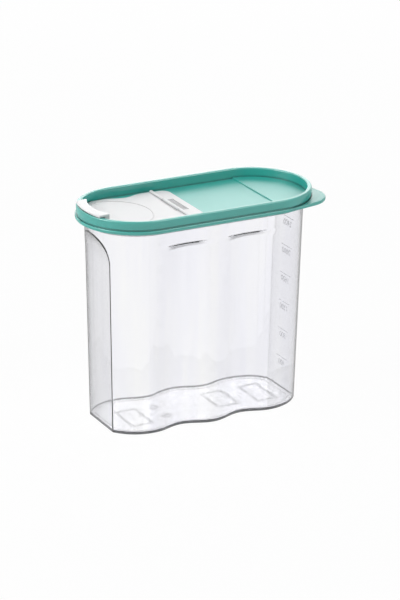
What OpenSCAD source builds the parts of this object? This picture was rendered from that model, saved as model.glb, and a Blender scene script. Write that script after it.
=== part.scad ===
// Cereal container with a flip pour cover.
// A clear fluted tub carries a soft press-on lid. A white cover on the lid's sunk panel
// turns on a knuckle hinge and closes the pour opening with a plug rim.
// The origin is the centre of the tub's footprint on the table, +Z is up,
// the pour end is -X, and the lift tab is at the +X end.

/* [Lid plan] */
// Length over the lid's raised ring
lid_len = 220; // [190:1:260]
// Width over the lid's raised ring
lid_wid = 102.4; // [90:0.2:120]

/* [Tub] */
// Height of the tub's rim above the table
tub_h = 199.6; // [150:0.2:260]
// Thickness of the tub's walls
tub_wall = 1.6; // [1.2:0.1:2.4]
// Thickness of the tub's floor
tub_floor = 2.2; // [1.4:0.1:4]
// Draft angle of the tub's walls
draft = 1.25; // [0.5:0.05:2]
// Radius round the tub's bottom edge
foot_fillet = 1.2; // [1:0.1:4]
// Width of the flat foot ring the tub stands on
foot_w = 4; // [2:0.5:8]
// Height of the hollow inside the foot ring
foot_hollow = 0.8; // [0.4:0.1:1.2]
// Depth of the flutes in the long sides
flute_depth = 7.4; // [2:0.2:10]
// How far the middle crest bows out at the table
crest_bow = 1.6; // [0:0.2:4]
// Distance from the rim down to the top of the flutes
flute_drop = 26.6; // [22:0.2:50]
// Height of the sloping ledge at the top of a flute
ledge_h = 4.5; // [3:0.5:14]
// How deep the flat end panels cut into the round ends
panel_cut = 6.9; // [3:0.1:9]
// Distance from the rim down to the crown of an end panel's arch
arch_drop = 19; // [15:0.5:40]
// Height over which an end panel flares out under its arch
arch_h = 24.5; // [12:0.5:40]

/* [Tub rim] */
// Thickness of the rim wall inside the lid's channel
rim_wall = 1.4; // [1:0.1:2]
// How far the rim stands out from the tub's neck
rim_step = 5.8; // [3:0.1:8]
// Distance from the rim's top down to the foot of the shoulder
shoulder_drop = 13.6; // [11.5:0.1:18]
// Height of the sloping shoulder
shoulder_h = 3.6; // [2:0.1:4.5]
// Radius on the rim's top edges
rim_round = 0.5; // [0.2:0.1:0.6]

/* [Lid] */
// Width of the raised ring across its top
ring_w = 4; // [3.6:0.1:5.5]
// Height of the ring above the flange
ring_h = 8.6; // [6:0.1:11]
// Radius on the ring's top edges
ring_round = 1.2; // [0.4:0.1:1.6]
// Thickness of the ring's outer wall
skirt_wall = 0.9; // [0.7:0.1:1.2]
// Thickness of the ring's roof over the tub's rim
roof_t = 1.1; // [0.8:0.1:1.6]
// Thickness of the rounded flange at the skirt's foot
flange_t = 3.2; // [2:0.1:4]
// How far the flange stands out from the ring
flange_out = 1.1; // [0.5:0.1:1.5]
// Depth of the sunk panel below the ring's top
panel_drop = 9; // [7:0.1:10]
// Thickness of the sunk panel
panel_t = 1.3; // [0.9:0.1:1.6]
// Rise of the panel's step beside the parked flap
step_rise = 1; // [0.5:0.1:2]
// Distance of the step from the tab end of the ring
step_from_end = 47.5; // [30:0.5:55]

/* [Lift tab] */
// Direction of the tab from the round end's centre
tab_dir = -33; // [-60:1:60]
// Distance of the tab's own centre from the round end's centre
tab_reach = 38; // [34:0.5:42]
// Radius of the tab's tip
tab_r = 25.8; // [20:0.2:30]
// Thickness of the tab's plate
tab_t = 1.6; // [1:0.1:2.4]
// Thickness of the rim that stiffens the tab's edge
tab_rim = 1.2; // [0.8:0.1:2]

/* [Pour opening] */
// Distance of the pour circle's centre from the pour end of the ring
pour_from_end = 28.5; // [24:0.5:34]
// Radius of the pour circle at the flap's plug rim
pour_r = 36.5; // [28:0.5:38]
// Width of panel left between the plug rim and the ring
pour_ledge = 4.8; // [3:0.1:8]

/* [Spout flap] */
// Thickness of the flap's plate
flap_t = 1.6; // [1.2:0.1:2.2]
// Half width of the flap
flap_half = 40.4; // [38.2:0.2:42]
// Depth of the waist in the flap's sides
waist_in = 4.4; // [0:0.2:6]
// Length of the waist along the flap's side
waist_len = 37; // [20:1:40]
// Distance of the waist from the pour end of the ring
waist_from_end = 59; // [56:0.5:62]
// Thickness of the plug rim under the flap
plug_wall = 1.2; // [0.8:0.1:2]
// Length of the plug rim below the flap's plate
plug_h = 4.5; // [3:0.1:6]
// Height of the raised line on the flap's top, over the plug rim
arc_rise = 0.25; // [0.1:0.05:0.5]
// Width of the raised line
arc_w = 0.9; // [0.5:0.1:2]

/* [Thumb lip] */
// Radius of the lip's outer edge
lip_r = 78; // [60:1:110]
// Radius of the lip's inner edge
lip_inner_r = 47.4; // [44:0.2:60]
// Width of the lip at its middle
lip_w = 8; // [6:0.1:12]
// Half of the lip's length across the ring
lip_half = 22.6; // [18:0.2:26]
// How far the middle of the lip's outer edge lies inside the ring's end
lip_in = 1.9; // [1:0.1:3]
// Thickness of the lip's top at its outer edge
lip_t = 1.1; // [0.8:0.1:1.6]
// How much higher the lip's inner edge stands
lip_rise = 1.1; // [0.4:0.1:2]
// Thickness of the lip's upright walls
lip_wall = 1.3; // [0.9:0.1:2]

/* [Hinge] */
// Distance of the hinge axis from the pour end of the ring
hinge_from_end = 87; // [84:0.5:92]
// Radius of the hinge knuckles
knuckle_r = 1.7; // [1.5:0.1:2]
// Half length of the flap's middle knuckle
knuckle_half = 15; // [8:0.5:18]
// Radius of the flap's trunnions
trunnion_r = 1.1; // [0.8:0.05:1.2]
// Length of each trunnion
trunnion_len = 5; // [3:0.5:8]
// Thickness of the hinge plate
plate_t = 1.7; // [1.3:0.1:1.9]
// Depth of the hinge plate from its axis to its back edge
plate_len = 15.5; // [13:0.5:24]
// How much further in than the flap's sides the hinge plate's sides lie
plate_inset = 0.4; // [0:0.1:1]
// Radius of the hinge plate's back corners
plate_corner = 9; // [2:0.5:10]
// Radius of the pegs that hold the hinge plate
peg_r = 1.8; // [1.2:0.1:2.2]
// Radius of the pegs' heads under the panel
peg_head_r = 2.6; // [2.3:0.1:3]
// Thickness of the pegs' heads
peg_head_t = 0.9; // [0.6:0.1:1.2]

/* [Clearances] */
// Gap between the lid and the tub's rim
rim_gap = 0.3; // [0.25:0.01:0.4]
// Gap round the plug rim in the pour opening
plug_gap = 0.4; // [0.3:0.05:0.6]
// Gap between the flap and the panel under it
flap_gap = 0.3; // [0.2:0.05:0.5]
// Gap between the flap's head and the ring round it
head_gap = 0.8; // [0.5:0.1:1.5]
// Side gap between the hinge's knuckles
knuckle_gap = 0.4; // [0.2:0.05:0.6]
// Radial clearance of the trunnions in their bores
pin_gap = 0.05; // [0.02:0.01:0.1]
// Radial clearance of the pegs in the panel
peg_gap = 0.05; // [0.02:0.01:0.1]

/* [Hidden] */

fine = 96;                                  // segments of a plain circle
over = 1;                                   // how far a cutter runs past what it cuts

// Plan: two round ends on the spine from -spine to +spine, joined by straight sides.
lid_r = lid_wid / 2;
spine = (lid_len - lid_wid) / 2;
pour_end = -lid_len / 2;

// Lid heights, measured up from the rim that carries the lid
lid_top = tub_h + rim_gap + roof_t;
flange_top = lid_top - ring_h;
skirt_foot = flange_top - flange_t;
panel_top = lid_top - panel_drop;
panel_foot = panel_top - panel_t;

// Lid radii, measured from the spine
skirt_r = lid_r - skirt_wall;
well_r = lid_r - ring_w;
rim_r = skirt_r - rim_gap;
channel_r = rim_r - rim_wall - rim_gap;
flange_r = lid_r + flange_out;

// Tub heights and radii
shoulder_z = tub_h - shoulder_drop;
flute_top = tub_h - flute_drop;
arch_top = tub_h - arch_drop;
arch_start = arch_top - arch_h;
neck_r = rim_r - rim_step;
flare_r = (arch_h * arch_h + panel_cut * panel_cut) / (2 * panel_cut);
fillet_less = 0.8;                          // how much smaller the fillet on the floor is
inner_fillet = foot_fillet - fillet_less;
inner_lift = 1;                             // lift of the inner face over a sloping ledge
shoulder_lift = 0.9;                        // the same over the shoulder
level_gap = 0.2;                            // heights nearer than this are taken as one

// Points round one quarter of the tub: across the end panel, round the end, along the side
end_steps = 4;
arc_steps = 10;
side_steps = 15;
least_corner = 5;                           // smallest half angle kept for the end panel
fillet_steps = 4;
arch_steps = 7;

// Flap and hinge places
hinge_x = pour_end + hinge_from_end;
hinge_z = panel_top + flap_gap + knuckle_r;
flap_foot = panel_top + flap_gap;
flap_top = flap_foot + flap_t;
flap_back = hinge_x - knuckle_r - knuckle_gap;
pour_x = pour_end + pour_from_end;
waist_x = pour_end + waist_from_end;
lip_x = pour_end + lip_in + lip_r;
lip_inner_x = pour_end + lip_in + lip_w + lip_inner_r;
lip_foot = lid_top + rim_gap;
lip_ridge_x = lip_inner_x - lip_inner_r - lip_wall / 2;
plate_back = hinge_x + plate_len;
plate_half = flap_half - plate_inset;
peg_share = 0.55;                           // place of the pegs along the plate's depth
peg_x = hinge_x + plate_len * peg_share;
peg_rows = [0.3, 0.8];                      // places of the pegs along the half width
recess_depth = 0.7;                         // shallow tray behind the middle knuckle
recess_margin = 6.5;                        // what the tray leaves of the plate at the back

function clamp01(t) = min(1, max(0, t));

// Radius of the round ends at a height: drafted wall, sloping shoulder, upright rim
function wall_r(z) =
    z <= shoulder_z ? neck_r - tan(draft) * (shoulder_z - z)
    : neck_r + rim_step * clamp01((z - shoulder_z) / shoulder_h);

// Distance of an end panel from the middle: drafted, then flaring out along an arc to its crown
function panel_face(z) =
    spine + wall_r(z) - panel_cut
    + (z < arch_start ? 0
       : z < arch_top ? flare_r - sqrt(flare_r * flare_r - (z - arch_start) * (z - arch_start))
       : panel_cut);

// Depth of the flutes at a height, and the bow of the middle crest
function flute_at(z) = flute_depth * clamp01((flute_top - z) / ledge_h);
function bow_at(z) = crest_bow * clamp01((flute_top - z) / flute_top);

// One quarter of the tub's outline at a height, drawn in by an inset
function quarter(z, inset) =
    let (r = wall_r(z) - inset,
         face = panel_face(z) - inset,
         corner = acos(min((face - spine) / r, cos(least_corner))),
         half = r * sin(corner))
    concat(
        [for (j = [0 : end_steps - 1])
            let (y = half * j / end_steps)
            [min(face, spine + sqrt(r * r - y * y)), y]],
        [for (j = [0 : arc_steps - 1])
            let (a = corner + (90 - corner) * j / arc_steps)
            [spine + r * cos(a), r * sin(a)]],
        [for (j = [0 : side_steps])
            let (x = spine * (1 - j / side_steps), t = x / spine)
            [x, r + bow_at(z) * (1 - t * t) - flute_at(z) * (1 - cos(360 * t)) / 2]]);

// The whole outline, at the height where it lies
function outline(z, inset, at) =
    let (q = quarter(at, inset), n = len(q) - 1)
    concat(
        [for (i = [0 : n - 1]) [q[i][0], q[i][1], z]],
        [for (i = [n : -1 : 1]) [-q[i][0], q[i][1], z]],
        [for (i = [0 : n - 1]) [-q[i][0], -q[i][1], z]],
        [for (i = [n : -1 : 1]) [q[i][0], -q[i][1], z]]);

// Heights in rising order, each at least a hair above the last
function sorted(v) =
    len(v) < 2 ? v
    : let (p = v[0], rest = [for (i = [1 : len(v) - 1]) v[i]])
      concat(sorted([for (x = rest) if (x < p - level_gap) x]), [p],
             sorted([for (x = rest) if (x > p + level_gap) x]));

// Heights at which the wall changes: the arch's flare, the ledge and the shoulder
wall_levels = sorted(concat(
    [for (i = [0 : arch_steps]) arch_start + arch_h * i / arch_steps],
    [flute_top, flute_top - ledge_h / 3, flute_top - ledge_h * 2 / 3, flute_top - ledge_h]));

function lift(z) =
    z > flute_top - ledge_h - level_gap && z < flute_top + level_gap ? inner_lift : 0;

// The tub's skin as a list of outlines: [height, inset, height at which the plan is read].
// It runs from the hollow under the floor, up the outside, over the rim and down the inside.
// The foot ring starts a little too deep, and tub() cuts it flat.
foot_in = foot_fillet + foot_w;
skin_path = concat(
    [[foot_hollow, foot_in + foot_hollow, foot_hollow], [-over, foot_in, 0], [-over, foot_fillet, 0]],
    [for (i = [0 : fillet_steps])
        let (a = 90 * i / fillet_steps, z = foot_fillet * (1 - cos(a)))
        [z, foot_fillet * (1 - sin(a)), z]],
    [for (z = wall_levels) [z, 0, z]],
    [[shoulder_z, 0, shoulder_z],
     [shoulder_z + shoulder_h, 0, shoulder_z + shoulder_h],
     [tub_h - rim_round, 0, tub_h],
     [tub_h, rim_round, tub_h],
     [tub_h, rim_wall - rim_round, tub_h],
     [tub_h - rim_round, rim_wall, tub_h],
     [shoulder_z + shoulder_h + shoulder_lift, rim_wall, tub_h],
     [shoulder_z + shoulder_lift, tub_wall, shoulder_z]],
    [for (i = [len(wall_levels) - 1 : -1 : 0])
        let (z = wall_levels[i])
        [z + lift(z), tub_wall, z]],
    [for (i = [fillet_steps : -1 : 0])
        let (a = 90 * i / fillet_steps, z = tub_floor + inner_fillet * (1 - cos(a)))
        [z, tub_wall + inner_fillet * (1 - sin(a)), z]]);

// Closed skin through a list of outlines with the same number of points, fanned shut at both ends
module skin(rings) {
    n = len(rings[0]);
    last = len(rings) - 1;
    points = concat(
        [for (ring = rings) each ring],
        [[0, 0, rings[0][0][2]], [0, 0, rings[last][0][2]]]);
    first_hub = n * (last + 1);
    faces = concat(
        [for (k = [0 : last - 1], i = [0 : n - 1])
            each [[k * n + i, (k + 1) * n + i, (k + 1) * n + (i + 1) % n],
                  [k * n + i, (k + 1) * n + (i + 1) % n, k * n + (i + 1) % n]]],
        [for (i = [0 : n - 1]) [first_hub, i, (i + 1) % n]],
        [for (i = [0 : n - 1]) [first_hub + 1, last * n + (i + 1) % n, last * n + i]]);
    polyhedron(points, faces, convexity = 8);
}

// Sweep a profile of [distance from the spine, height] once round the lid's plan
module around() {
    for (side = [0, 1])
        mirror([side, 0, 0]) {
            translate([spine, 0, 0])
                rotate([0, 0, -90])
                    rotate_extrude(angle = 180, $fn = fine)
                        children();
            mirror([0, side, 0])
                translate([-spine, 0, 0])
                    rotate([90, 0, 90])
                        linear_extrude(2 * spine)
                            children();
        }
}

// Flat slab with the lid's plan
module slab(r, foot, top) {
    for (side = [-1, 1])
        translate([side * spine, 0, foot])
            cylinder(h = top - foot, r = r, $fn = fine);
    translate([-spine, -r, foot])
        cube([2 * spine, 2 * r, top - foot]);
}

// Upright disc on the long axis
module disc(x, r, foot, top) {
    translate([x, 0, foot])
        cylinder(h = top - foot, r = r, $fn = fine);
}

// What the plug rim and the pour opening share: the pour circle, kept off the ring and the lip
module pour_shape(grow, foot, top) {
    intersection() {
        disc(pour_x, pour_r + grow, foot, top);
        disc(-spine, well_r - pour_ledge + grow, foot, top);
        disc(lip_inner_x, lip_inner_r - plug_gap + grow, foot, top);
    }
}

module tub() {
    color([0.88, 0.91, 0.93, 0.45])
        difference() {
            skin([for (p = skin_path) outline(p[0], p[1], p[2])]);
            translate([-lid_len / 2, -lid_wid / 2, -2 * over])
                cube([lid_len, lid_wid, 2 * over]);
        }
}

// Half of the ring's section: round-edged top, channel for the rim, half-round flange
module ring_section() {
    bead_r = flange_t / 2;
    difference() {
        union() {
            translate([well_r, panel_foot])
                square([ring_w, lid_top - ring_round - panel_foot]);
            translate([well_r + ring_round, panel_foot])
                square([ring_w - 2 * ring_round, lid_top - panel_foot]);
            for (r = [well_r + ring_round, lid_r - ring_round])
                translate([r, lid_top - ring_round])
                    circle(ring_round, $fn = fine / 4);
            translate([skirt_r, skirt_foot])
                square([flange_r - bead_r - skirt_r, flange_t]);
            translate([flange_r - bead_r, skirt_foot + bead_r])
                circle(bead_r, $fn = fine / 4);
            translate([skirt_r, skirt_foot + bead_r])
                square([skirt_wall, flange_t]);
        }
        translate([channel_r, skirt_foot - over])
            square([skirt_r - channel_r, lid_top - roof_t - skirt_foot + over]);
    }
}

// Outline of the lift tab: a round tip joined to the flange by the two common tangents
module tab_plan(inset) {
    big = flange_r - inset;
    tip = tab_r - inset;
    turn = acos((big - tip) / tab_reach);
    translate([tab_reach, 0])
        circle(tip, $fn = fine);
    polygon([
        [0, 0],
        [big * cos(turn), -big * sin(turn)],
        [tab_reach + tip * cos(turn), -tip * sin(turn)],
        [tab_reach + tip * cos(turn), tip * sin(turn)],
        [big * cos(turn), big * sin(turn)]]);
}

module lift_tab() {
    translate([spine, 0, skirt_foot])
        rotate([0, 0, tab_dir])
            difference() {
                linear_extrude(flange_t)
                    tab_plan(0);
                translate([0, 0, -over])
                    linear_extrude(flange_t - tab_t + over)
                        tab_plan(tab_rim);
                translate([0, 0, -over])
                    cylinder(h = flange_t + 2 * over, r = skirt_r + skirt_wall / 2, $fn = fine);
            }
}

module peg_places() {
    for (side = [-1, 1], share = peg_rows)
        translate([peg_x, side * share * plate_half, 0])
            children();
}

module lid() {
    step_x = lid_len / 2 - step_from_end;
    color([0.27, 0.69, 0.64]) {
        difference() {
            union() {
                around() ring_section();
                slab(channel_r, panel_foot, panel_top);
                intersection() {
                    slab(channel_r, panel_foot, panel_top + step_rise);
                    translate([step_x, -lid_wid, panel_foot])
                        cube([lid_len, 2 * lid_wid, panel_t + step_rise]);
                }
                lift_tab();
            }
            intersection() {
                slab(well_r, panel_foot - over, panel_foot + step_rise);
                translate([step_x + panel_t, -lid_wid, panel_foot - over])
                    cube([lid_len, 2 * lid_wid, step_rise + over]);
            }
            pour_shape(plug_gap, panel_foot - over, panel_top + over);
            peg_places()
                translate([0, 0, panel_foot - over])
                    cylinder(h = panel_t + 2 * over, r = peg_r + peg_gap, $fn = fine / 2);
        }
    }
}

// Plan of the hinge plate: straight along the hinge, round at the back corners
module plate_plan() {
    intersection() {
        translate([hinge_x, -plate_half])
            square([plate_len, 2 * plate_half]);
        union() {
            translate([hinge_x - plate_corner, -plate_half])
                square([plate_len, 2 * plate_half]);
            translate([hinge_x, plate_corner - plate_half])
                square([plate_len, 2 * (plate_half - plate_corner)]);
            for (side = [-1, 1])
                translate([plate_back - plate_corner, side * (plate_half - plate_corner)])
                    circle(plate_corner, $fn = fine);
        }
    }
}

module hinge_plate() {
    plate_top = panel_top + plate_t;
    slot_half = knuckle_half + knuckle_gap;
    color([0.9, 0.91, 0.92]) {
        difference() {
            union() {
                difference() {
                    translate([0, 0, panel_top])
                        linear_extrude(plate_t)
                            plate_plan();
                    translate([hinge_x - over, -slot_half, panel_top - over])
                        cube([knuckle_r + knuckle_gap + over, 2 * slot_half, plate_t + 2 * over]);
                    translate([hinge_x, -slot_half, plate_top - recess_depth])
                        cube([plate_len - recess_margin, 2 * slot_half, plate_t]);
                }
                for (side = [-1, 1])
                    translate([hinge_x, side * slot_half, hinge_z])
                        rotate([-90 * side, 0, 0])
                            cylinder(h = plate_half - slot_half, r = knuckle_r, $fn = fine / 2);
            }
            for (side = [-1, 1])
                translate([hinge_x, side * (slot_half - over), hinge_z])
                    rotate([-90 * side, 0, 0])
                        cylinder(h = trunnion_len + knuckle_gap + over, r = trunnion_r + pin_gap, $fn = fine / 2);
        }
        peg_places() {
            translate([0, 0, panel_foot - peg_gap])
                cylinder(h = panel_t + 2 * peg_gap + plate_t / 2, r = peg_r, $fn = fine / 2);
            translate([0, 0, panel_foot - peg_gap - peg_head_t])
                cylinder(h = peg_head_t, r = peg_head_r, $fn = fine / 2);
        }
    }
}

// Half width of the flap along its length: full at both ends, drawn in at the waist
function flap_side(x) =
    flap_half - waist_in * (abs(x - waist_x) < waist_len / 2
                            ? (1 + cos(360 * (x - waist_x) / waist_len)) / 2 : 0);
waist_steps = 14;

// Plate of the flap: waisted body, round head that follows the ring
module flap_plate() {
    waist = [for (i = [0 : waist_steps]) waist_x + waist_len * (i / waist_steps - 0.5)];
    head_r = well_r - head_gap;
    translate([0, 0, flap_foot])
        linear_extrude(flap_t)
            intersection() {
                polygon(concat(
                    [[pour_end, -flap_half]],
                    [for (x = waist) [x, -flap_side(x)]],
                    [[flap_back, -flap_half], [flap_back, flap_half]],
                    [for (i = [waist_steps : -1 : 0]) [waist[i], flap_side(waist[i])]],
                    [[pour_end, flap_half]]));
                union() {
                    translate([-spine, 0])
                        circle(head_r, $fn = fine);
                    translate([-spine, -lid_r])
                        square([lid_len, 2 * lid_r]);
                }
            }
}

// Plan of the thumb lip: a crescent between its outer and inner arcs, with squared ends
module lip_plan(outer_in, inner_out) {
    difference() {
        intersection() {
            translate([lip_x, 0])
                circle(lip_r - outer_in, $fn = fine);
            translate([pour_end - lid_r, -lip_half])
                square([lid_r * 2, 2 * lip_half]);
        }
        translate([lip_inner_x, 0])
            circle(lip_inner_r + inner_out, $fn = fine);
    }
}

// Thumb lip: inner wall, roof that falls outwards over the ring, and two short end walls
module thumb_lip() {
    intersection() {
        translate([0, 0, lip_foot])
            linear_extrude(lip_t + lip_rise)
                lip_plan(0, 0);
        translate([lip_ridge_x, 0, lip_foot + lip_t + lip_rise])
            rotate([0, -atan(lip_rise / (lip_w - lip_wall / 2)), 0])
                translate([-lid_r, -lid_r, -lid_r])
                    cube([2 * lid_r, 2 * lid_r, lid_r]);
    }
    translate([0, 0, flap_foot])
        linear_extrude(lip_foot - flap_foot)
            difference() {
                lip_plan(0, 0);
                lip_plan(-over, lip_wall);
            }
    for (side = [-1, 1])
        translate([0, 0, flap_foot])
            linear_extrude(lip_foot - flap_foot)
                intersection() {
                    lip_plan(0, 0);
                    translate([-spine, 0])
                        circle(well_r - head_gap, $fn = fine);
                    translate([pour_end, side * (lip_half - lip_wall / 2) - lip_wall / 2])
                        square([lid_r, lip_wall]);
                }
}

module spout_flap() {
    color([0.93, 0.93, 0.94]) {
        difference() {
            flap_plate();
            translate([0, 0, flap_foot - over])
                linear_extrude(flap_t + 2 * over)
                    intersection() {
                        lip_plan(-lid_r, lip_wall);
                        translate([pour_end - lid_r, -lip_half + lip_wall])
                            square([lid_r * 2, 2 * (lip_half - lip_wall)]);
                    }
        }
        thumb_lip();
        difference() {
            pour_shape(0, flap_foot - plug_h, flap_foot + flap_t / 2);
            pour_shape(-plug_wall, flap_foot - plug_h - over, flap_foot + flap_t);
        }
        difference() {
            pour_shape(0, flap_top - flap_t / 2, flap_top + arc_rise);
            pour_shape(-arc_w, flap_foot, flap_top + arc_rise + over);
        }
        translate([flap_back - over, -knuckle_half, flap_foot])
            cube([hinge_x - flap_back + over, 2 * knuckle_half, flap_t]);
        translate([hinge_x, -knuckle_half, hinge_z])
            rotate([-90, 0, 0])
                cylinder(h = 2 * knuckle_half, r = knuckle_r, $fn = fine / 2);
        translate([hinge_x, -knuckle_half - trunnion_len, hinge_z])
            rotate([-90, 0, 0])
                cylinder(h = 2 * (knuckle_half + trunnion_len), r = trunnion_r, $fn = fine / 2);
    }
}

tub();
lid();
hinge_plate();
spout_flap();
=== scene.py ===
"""A clear fluted cereal keeper with a soft teal lid and a white flip cover, dressed for its photograph."""

import math

import bpy
import numpy as np
from mathutils import Matrix


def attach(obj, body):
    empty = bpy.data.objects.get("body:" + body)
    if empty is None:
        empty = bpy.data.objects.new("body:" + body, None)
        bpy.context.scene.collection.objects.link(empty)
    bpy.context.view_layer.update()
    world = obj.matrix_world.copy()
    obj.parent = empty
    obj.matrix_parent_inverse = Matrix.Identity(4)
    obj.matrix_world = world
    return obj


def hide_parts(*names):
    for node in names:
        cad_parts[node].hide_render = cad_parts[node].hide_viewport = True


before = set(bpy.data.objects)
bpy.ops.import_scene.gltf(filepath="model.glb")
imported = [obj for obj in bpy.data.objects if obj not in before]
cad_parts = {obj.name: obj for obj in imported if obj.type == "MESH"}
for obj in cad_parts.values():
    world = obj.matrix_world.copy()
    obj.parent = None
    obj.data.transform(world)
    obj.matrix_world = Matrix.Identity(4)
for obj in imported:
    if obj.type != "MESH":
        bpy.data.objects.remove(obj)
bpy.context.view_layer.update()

# ---------------------------------------------------------------- the tub
# One stiff, clear injection moulding with walls of even thickness: fluted long sides,
# flat end panels that flare out under an arch, a plain band, a shoulder and the rim that
# the lid grips. It stands on a narrow foot ring. Sizes are millimetres, as in the source.
MM = 0.001
SPINE = 58.8            # half the distance between the centres of the two round ends
TUB_TOP = 199.6
WALL, FLOOR, RIM_WALL, RIM_ROUND = 1.6, 2.2, 1.4, 0.5
DRAFT = math.tan(math.radians(1.25))
SHOULDER, SHOULDER_RISE = 186.0, 3.6
NECK_R, RIM_OUT = 44.2, 5.8
FLUTE_DEPTH, FLUTE_TOP, LEDGE = 7.4, 173.0, 4.5
CREST_BOW = 1.6
PANEL_CUT, ARCH_TOP, ARCH_FOOT = 6.9, 180.6, 156.1
FOOT_FILLET, FLOOR_FILLET, FOOT_RING, FOOT_HOLLOW = 1.2, 0.6, 4.0, 0.8
LIFT, LIFT_FOOT, LIFT_TOP, SHOULDER_LIFT = 1.0, 165, 169, 0.1   # of the inside, over the ledge


def bend(x, soft):
    """A rounded ramp: 0 below -soft, x above soft, and a parabola that joins them."""
    return np.where(x <= -soft, 0.0, np.where(x >= soft, x, (x + soft) ** 2 / (4 * soft)))


def wall_radius(z):
    """Radius of the round ends: drafted wall, then the shoulder's slope, then the upright rim."""
    up = z - SHOULDER
    return (NECK_R + DRAFT * (up - bend(up, 0.8))
            + RIM_OUT / SHOULDER_RISE * (bend(up, 0.7) - bend(up - SHOULDER_RISE, 0.6)))


def panel_distance(z):
    """Distance of an end panel's plane from the round end's centre: the wall's radius less the
    cut, flaring out along an arc above the foot of the arch."""
    sweep = ((ARCH_TOP - ARCH_FOOT) ** 2 + PANEL_CUT ** 2) / (2 * PANEL_CUT)
    rise = np.clip(z - ARCH_FOOT, 0, 0.96 * sweep)
    return wall_radius(z) - PANEL_CUT + sweep - np.sqrt(sweep ** 2 - rise ** 2)


def outline(z, inset, steps=(15, 44, 58)):
    """One outline a row, at the heights z and drawn in by inset. A quarter runs over the end
    panel, round the end and along the side, with its points gathered at the panel's corner.
    Round the end, the distance from the centre is the lesser of the arc's radius and the
    panel's plane, with the corner between them rounded by bend(). Along the side, the radius
    has the middle crest's bow added and one cosine flute a half taken off."""
    z, inset = np.asarray(z, float)[:, None], np.asarray(inset, float)[:, None]
    over_panel, round_end, along = steps
    radius, plane = wall_radius(z) - inset, panel_distance(z) - inset
    corner = np.arccos(np.clip(plane / radius, 0, math.cos(math.radians(4))))
    share = 1 - np.linspace(1, 0, over_panel, endpoint=False) ** 1.7
    rest = np.linspace(0, 1, round_end + 1) ** 1.5
    angle = np.concatenate([corner * share, corner + (math.pi / 2 - corner) * rest], axis=1)
    reach = radius - bend(radius - plane / np.maximum(np.cos(angle), 1e-3), 0.35)
    ends = np.stack([SPINE + reach * np.cos(angle), reach * np.sin(angle)], axis=2)
    t = np.linspace(1, 0, along + 1)[1:][None, :]
    flute = FLUTE_DEPTH / LEDGE * (bend(FLUTE_TOP - z, 0.8) - bend(FLUTE_TOP - LEDGE - z, 1.2))
    bow = CREST_BOW * bend(FLUTE_TOP - z, 2.0) / FLUTE_TOP
    side = radius + bow * (1 - t ** 2) - flute * (1 - np.cos(2 * math.pi * t)) / 2
    sides = np.stack([np.broadcast_to(SPINE * t, side.shape), side], axis=2)
    quarter = np.concatenate([ends, sides], axis=1)
    half = np.concatenate([quarter, quarter[:, -2::-1] * [-1, 1]], axis=1)
    whole = np.concatenate([half, half[:, -2:0:-1] * [1, -1]], axis=1)
    return np.concatenate([whole, np.broadcast_to(z[:, :, None], whole.shape[:2] + (1,))], axis=2)


def shell(grid, ring=False):
    """A closed surface on a grid of points [row, column, xyz], as points and faces. The columns
    close on themselves. The rows do too for a ring; else the first and last row are faced. The
    sign of the volume between the quads and the grid's middle turns every face outwards."""
    rows, columns = grid.shape[:2]
    here, row = np.arange(columns), np.arange(rows - 1 + ring)[:, None] * columns
    beside, over = (here + 1) % columns, (row + columns) % (rows * columns)
    quads = np.stack([row + here, row + beside, over + beside, over + here], axis=2).reshape(-1, 4)
    flat = grid.reshape(-1, 3)
    corners = flat[quads] - flat.mean(0)
    volume = (np.cross(corners, np.roll(corners, -1, axis=1)).sum(1) * corners.mean(1)).sum()
    caps = [] if ring else [here[::-1].tolist(), (here + (rows - 1) * columns).tolist()]
    faces = quads.tolist() + caps
    return flat, [face[::-1] for face in faces] if volume < 0 else faces


def fit_piece(name, mesh, body, replaces=()):
    """Puts a finished mesh in the scene as a piece that rides on a body."""
    piece = bpy.data.objects.new(name, mesh)
    bpy.context.collection.objects.link(piece)
    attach(piece, body)
    if replaces:
        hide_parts(*replaces)


def make_piece(name, shells, body, finish, replaces=(), crease=35):
    """Joins shells, in millimetres, in one mesh piece. Edges sharper than the crease angle, in
    degrees, stay sharp."""
    starts = np.cumsum([0] + [len(points) for points, faces in shells[:-1]])
    mesh = bpy.data.meshes.new(name)
    mesh.from_pydata((np.concatenate([points for points, faces in shells]) * MM).tolist(), [],
                     [[k + int(start) for k in face] for start, (points, faces) in zip(starts, shells)
                      for face in faces])
    mesh.polygons.foreach_set("use_smooth", [True] * len(mesh.polygons))
    mesh.set_sharp_from_angle(angle=math.radians(crease))
    mesh.materials.append(finish)
    fit_piece(name, mesh, body, replaces)


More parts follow.
